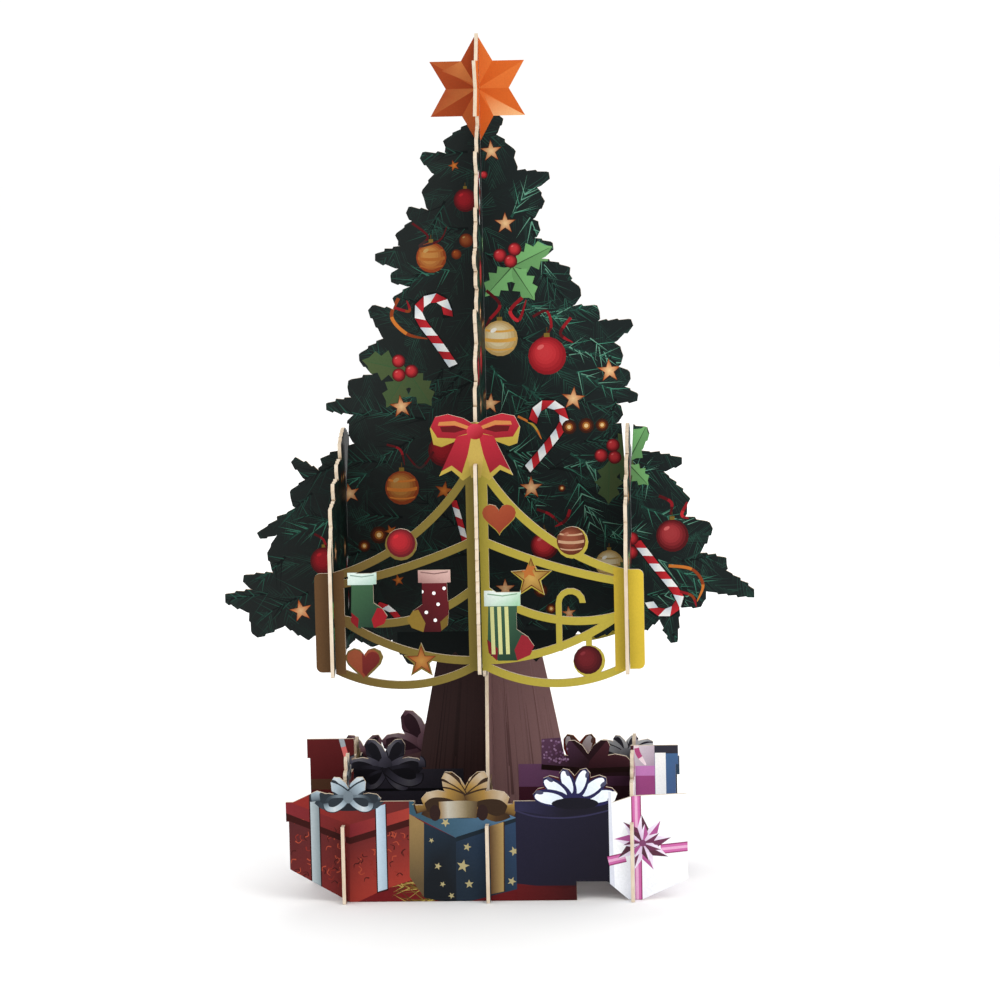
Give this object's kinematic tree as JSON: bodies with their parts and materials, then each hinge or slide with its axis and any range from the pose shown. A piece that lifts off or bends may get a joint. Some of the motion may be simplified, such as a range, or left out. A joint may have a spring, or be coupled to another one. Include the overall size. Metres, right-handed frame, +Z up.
{
  "type": "pop up card",
  "caption": "Standing pop-up tree card of slotted die-cut printed sheets, with a star on top, a gold garland and gifts round the trunk.",
  "frame": {"origin": "on the floor, at the crossing of the main and cross panels", "axes": "+Z is up along the trunk, the front garland faces -Y, and the widest panel runs along X"},
  "size_m": [0.1376, 0.0824, 0.22],
  "materials": {
    "tree_card": "satin printed card",
    "garland_card": "gold printed card",
    "gift_card": "satin printed card"
  },
  "bodies": {
    "root": {"main_tree_panel": "tree_card", "cross_tree_panel": "tree_card", "left_tree_vane": "tree_card", "right_tree_vane": "tree_card", "front_garland": "garland_card", "back_garland": "garland_card", "front_gift_panel": "gift_card", "back_gift_panel": "gift_card", "left_gift_vane": "gift_card", "right_gift_vane": "gift_card"}
  },
  "joints": []
}
